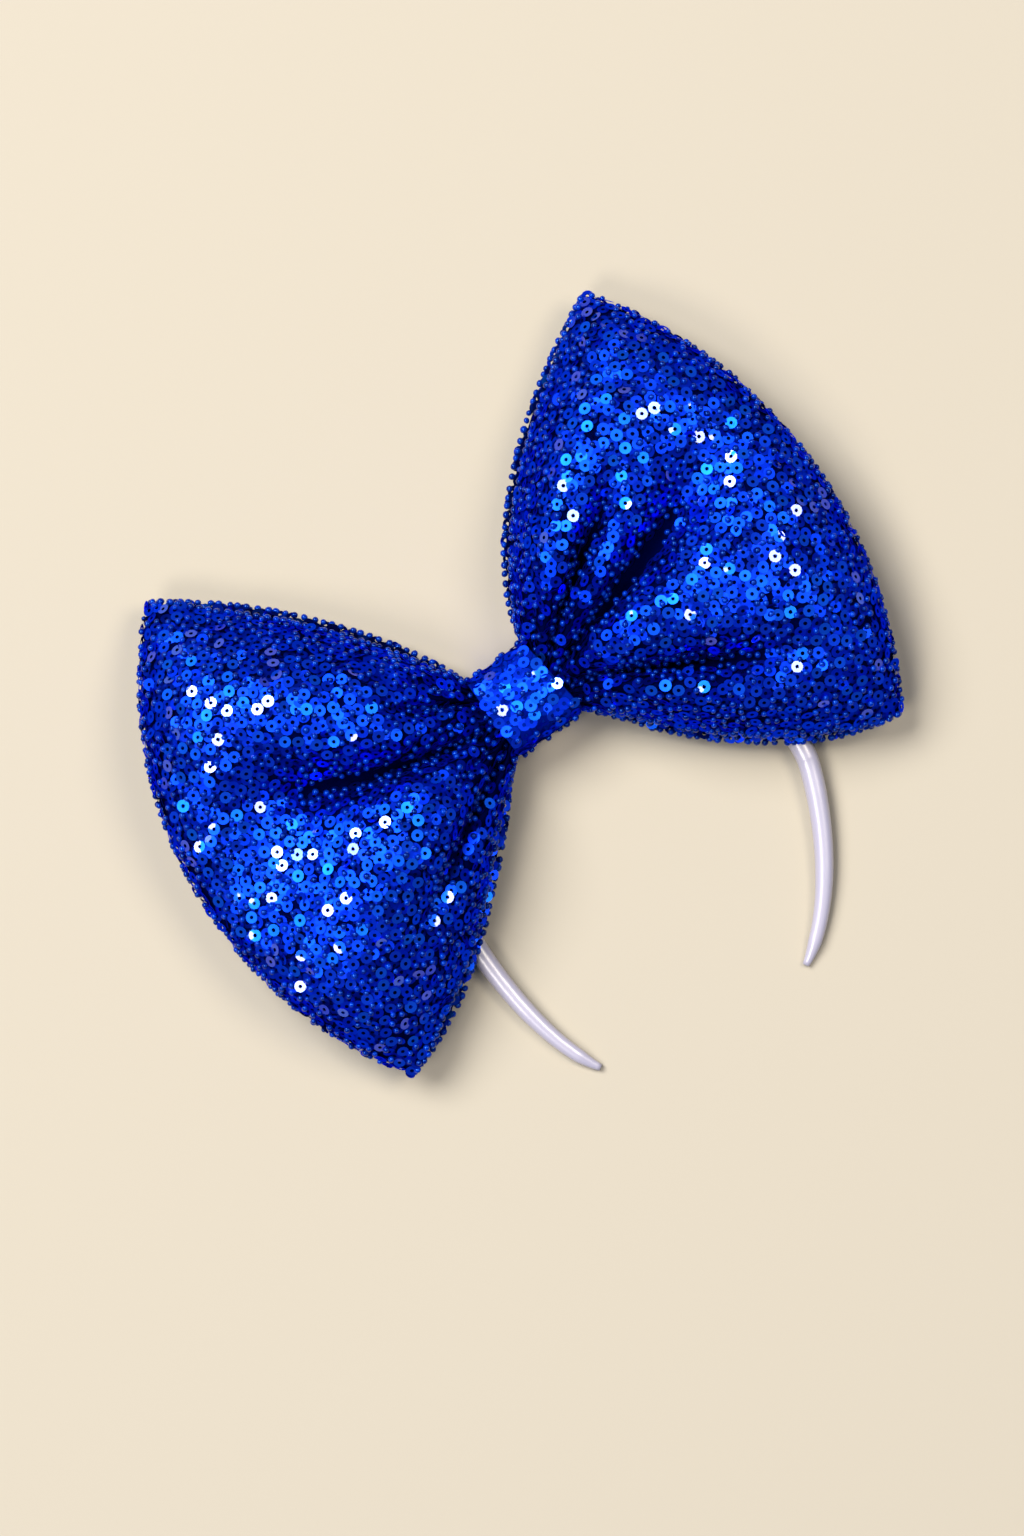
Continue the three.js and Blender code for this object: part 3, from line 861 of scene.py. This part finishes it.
def hem_trimmings(name, lobe):
    """The hem is turned in along the open sides, so the cloth's inner face is trimmed there too."""
    trimmings = []
    outwards = np.linspace(*HEM_REACH, HEM_COLUMNS)
    for place, start, end in (("lower", 0, HEM_SHARE), ("upper", 1 - HEM_SHARE, 1)):
        across = np.linspace(start, end, HEM_ROWS)
        grid = cloth_point(lobe, outwards[None, :], across[:, None], -1, CLOTH_INSIDE)
        # The order of the rows makes the normals face into the loop
        hem = Skin(grid[::lobe["side"]])
        hem_name = name + "_" + place + "_hem"
        trimmings.append(sequins(hem_name + "_sequins", hem, fine=False)[0])
        trimmings.append(beads(hem_name + "_beads", *scatter(hem, BEAD_SPACING), fine=False))
    return trimmings


def edge_beads(name, skins):
    """A row of beads along both open sides of each skin."""
    places, normals = [], []
    for skin in skins:
        for row, inward in ((0, 1), (-1, -2)):
            outwards = skin.grid[row] - skin.grid[inward]
            outwards /= np.maximum(np.linalg.norm(outwards, axis=-1, keepdims=True), TINY)
            facing = skin.normal[row] * EDGE_FACING + outwards
            row_places, row_normals = line_places(skin.grid[row], facing, EDGE_SPACING)
            places.append(row_places)
            normals.append(row_normals)
    return beads(name, np.concatenate(places), np.concatenate(normals), fine=True, scale=EDGE_BEAD_SCALE)


def make_loop(lobe):
    points, faces, outer = loop_cloth(lobe)
    name = "bow_loop_" + lobe["name"]
    cloth = mesh_object(name + "_cloth", points, faces, PAINTED_SHADE_NET, "sequin_cloth")
    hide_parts(name)
    solid = WAIST + MOUTH
    front_grid = outer[:, WAIST:solid + FRONT + 1]
    back_skin = Skin(outer[:, solid + FRONT:outer.shape[1] - WAIST])
    # Trimmings end in the deepest creases, where the near-black net shows as painted shade
    a, s = np.meshgrid(np.append(MOUTH_SHARES, outward_shares(FRONT)), across_shares(lobe["side"]))
    depth = gather_depth(lobe["gathers"], a, s, CREASE_NARROWING) + gather_depth(lobe["creases"], a, s)
    front_skin = Skin(front_grid, 1 - smooth(depth, *BARE_DEPTHS))
    beaded_skin = Skin(front_grid, 1 - smooth(depth, *BEADLESS_DEPTHS))
    front_sequins, top_places = sequins(name + "_front_sequins", front_skin, fine=True)
    back_sequins, _ = sequins(name + "_back_sequins", back_skin, fine=False, spacing=BACK_SEQUIN_SPACING)
    places, normals = scatter(beaded_skin, FRONT_BEAD_SPACING)
    clear = clear_of(places, top_places, TOP_CLEARANCE)
    trimmings = [
        front_sequins,
        back_sequins,
        beads(name + "_front_beads", places[clear], normals[clear], fine=True),
        beads(name + "_back_beads", *scatter(back_skin, BACK_BEAD_SPACING), fine=False),
        *hem_trimmings(name, lobe),
        edge_beads(name + "_edge_beads", (front_skin, back_skin)),
    ]
    width, length, area = loop_flat(lobe)


make_loop(LEFT_LOBE)
make_loop(RIGHT_LOBE)


# Knot

def knot_outline(inset):
    half = KNOT_HEIGHT / 2 - inset
    top, bottom = KNOT_DEPTH - inset, inset
    front, back = KNOT_FRONT_RADIUS - inset, KNOT_BACK_RADIUS - inset
    # y, z, radius, start of the arc in half turns, steps of the straight after it
    corners = [
        (half - back, bottom + back, back, -0.5, KNOT_SIDE_STEPS),
        (half - front, top - front, front, 0, KNOT_FRONT_STEPS),
        (front - half, top - front, front, 0.5, KNOT_SIDE_STEPS),
        (back - half, bottom + back, back, 1, KNOT_FRONT_STEPS),
    ]
    outline = []
    for number, (y, z, radius, start, steps) in enumerate(corners):
        turn = np.pi * (start + 0.5 * np.arange(KNOT_CORNER_STEPS + 1) / KNOT_CORNER_STEPS)
        arc = np.stack([y + radius * np.cos(turn), z + radius * np.sin(turn)], -1)
        outline.append(arc)
        next_y, next_z, next_radius, next_start, _ = corners[(number + 1) % len(corners)]
        turn = np.pi * next_start
        goal = np.array([next_y + next_radius * math.cos(turn), next_z + next_radius * math.sin(turn)])
        share = (np.arange(1, steps) / steps)[:, None]
        outline.append(lerp(arc[-1], goal, share))
    outline = np.concatenate(outline)
    outline[:, 1] -= np.where(outline[:, 1] > KNOT_DEPTH / 2, crown_fall(outline[:, 0]), 0)
    return outline


def knot_rings(inset):
    y, z = knot_outline(inset).T
    share = (np.arange(KNOT_ROWS + 1) / KNOT_ROWS)[:, None]
    x = lerp(knot_end(-1, y), knot_end(1, y), share)
    # Soft wrinkles that run along the gathered knot, only inwards
    front = smooth(z, KNOT_DEPTH * WRINKLE_START, KNOT_DEPTH - inset)
    line = y[None] + WRINKLE_SLANT * share + WRINKLE_BOW * np.sin(np.pi * share)
    wave = 0.5 * (1 - np.cos(line * 2 * np.pi / WRINKLE_SPACING))
    deep = wave * front * (1 - inset / (2 * KNOT_WALL))
    return np.stack([x, np.broadcast_to(y, x.shape), np.broadcast_to(z, x.shape) - deep], -1)


knot_outer, knot_inner = knot_rings(KNOT_OUTSIDE), knot_rings(CLOTH_INSIDE)
knot = mesh_object("centre_knot_cloth", *tube(knot_outer, knot_inner), FOLDED_CLOTH, "sequin_cloth")
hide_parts("centre_knot")
# Trimmings stay clear of the folded ends, and beads are few
knot_grid = np.concatenate([knot_outer, knot_outer[:, :1]], 1)
knot_skin = Skin(knot_grid[1:-1])
knot_sequins, _ = sequins(
    "centre_knot_sequins", knot_skin, fine=True,
    spacing=KNOT_SEQUIN_SPACING, lean=KNOT_SEQUIN_LEAN, lifts=KNOT_SEQUIN_LIFTS,
)
knot_beads = beads("centre_knot_beads", *scatter(knot_skin, KNOT_BEAD_SPACING), fine=True)


# Headband

def band_rings():
    place, strip, thick, low = band_line(BAND_STEPS)
    along = unit(np.gradient(place, axis=0))
    turn = 2 * np.pi * (np.arange(BAND_SIDES) + 0.5) / BAND_SIDES
    sideways = np.sign(np.cos(turn)) * np.abs(np.cos(turn)) ** BAND_POWER * strip[:, None] / 2
    half = thick[:, None] / 2
    height = low[:, None] + half + np.sign(np.sin(turn)) * np.abs(np.sin(turn)) ** BAND_POWER * half
    return np.stack([
        place[:, :1] + along[:, 1:] * sideways,
        place[:, 1:] - along[:, :1] * sideways,
        height,
    ], -1)


def capped_tube(rings):
    """Points and triangles of a tube of rings with a fan over each end."""
    rows, sides = rings.shape[:2]
    points = rings.reshape(-1, 3)
    triangles = [in_triangles(grid_faces(0, rows, sides, wrap_columns=True, flip=True))]
    for row, flip in ((0, False), (rows - 1, True)):
        middle = len(points)
        points = np.concatenate([points, rings[row].mean(0)[None]])
        ring = row * sides + np.arange(sides)
        after = row * sides + (np.arange(sides) + 1) % sides
        cap = np.stack([np.full(sides, middle), ring, after], -1)
        triangles.append(cap[:, ::-1] if flip else cap)
    return points, np.concatenate(triangles)


band = mesh_object("headband_satin", *capped_tube(band_rings()), SATIN, "satin")
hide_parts("headband")


# Surroundings and light

LIGHT_AIM_HEIGHT = 0.03
FLOOR_REACH = 12.0
# name, size, energy, direction on the picture, distance, colour
LIGHTS = [
    ("key", 3.0, 480, (-0.6, 0.42, 1.0), 5.0, (1, 0.98, 0.95)),
    ("fill", 1.5, 72, (0.5, 0.25, 1.0), 3.5, (1, 0.9, 0.72)),
    ("glint", 1.25, 62, (-0.45, -0.42, 1.0), 3.5, (1, 0.93, 0.82)),
]


def on_picture(right, up, towards):
    """A direction given in the picture's right, up and towards the camera."""
    turn = -BOW_SLANT
    return (
        right * math.cos(turn) - up * math.sin(turn),
        right * math.sin(turn) + up * math.cos(turn),
        towards,
    )


for name, size, energy, direction, distance, colour in LIGHTS:
    light_data = bpy.data.lights.new(name, "AREA")
    light_data.shape = "DISK"
    light_data.size = size
    light_data.energy = energy
    light_data.color = colour
    light = bpy.data.objects.new(name, light_data)
    aim = Vector(FRAME_CENTRE) + Vector((0, 0, LIGHT_AIM_HEIGHT))
    away = Vector(on_picture(*direction)).normalized()
    light.location = aim + away * distance
    light.rotation_euler = away.to_track_quat("Z", "Y").to_euler()
    bpy.context.scene.collection.objects.link(light)

world = bpy.data.worlds.new("surroundings")
world.use_nodes = True
backdrop = world.node_tree.nodes["Background"]
backdrop.inputs["Color"].default_value = (0.08, 0.32, 0.95, 1)
backdrop.inputs["Strength"].default_value = 0.3
bpy.context.scene.world = world

floor_mesh = bpy.data.meshes.new("floor")
floor_corners = [(FLOOR_REACH * x, FLOOR_REACH * y, 0) for x, y in ((-1, -1), (1, -1), (1, 1), (-1, 1))]
floor_mesh.from_pydata(floor_corners, [], [(0, 1, 2, 3)])
floor_material, _, _, floor_shader = material("cream surface")
set_inputs(floor_shader, Base_Color=(0.365, 0.328, 0.262, 1), Roughness=0.9, Specular_IOR_Level=0.1)
floor_mesh.materials.append(floor_material)
floor = bpy.data.objects.new("floor", floor_mesh)
bpy.context.scene.collection.objects.link(floor)

bpy.context.scene.view_settings.view_transform = "Standard"
bpy.context.scene.view_settings.look = "None"
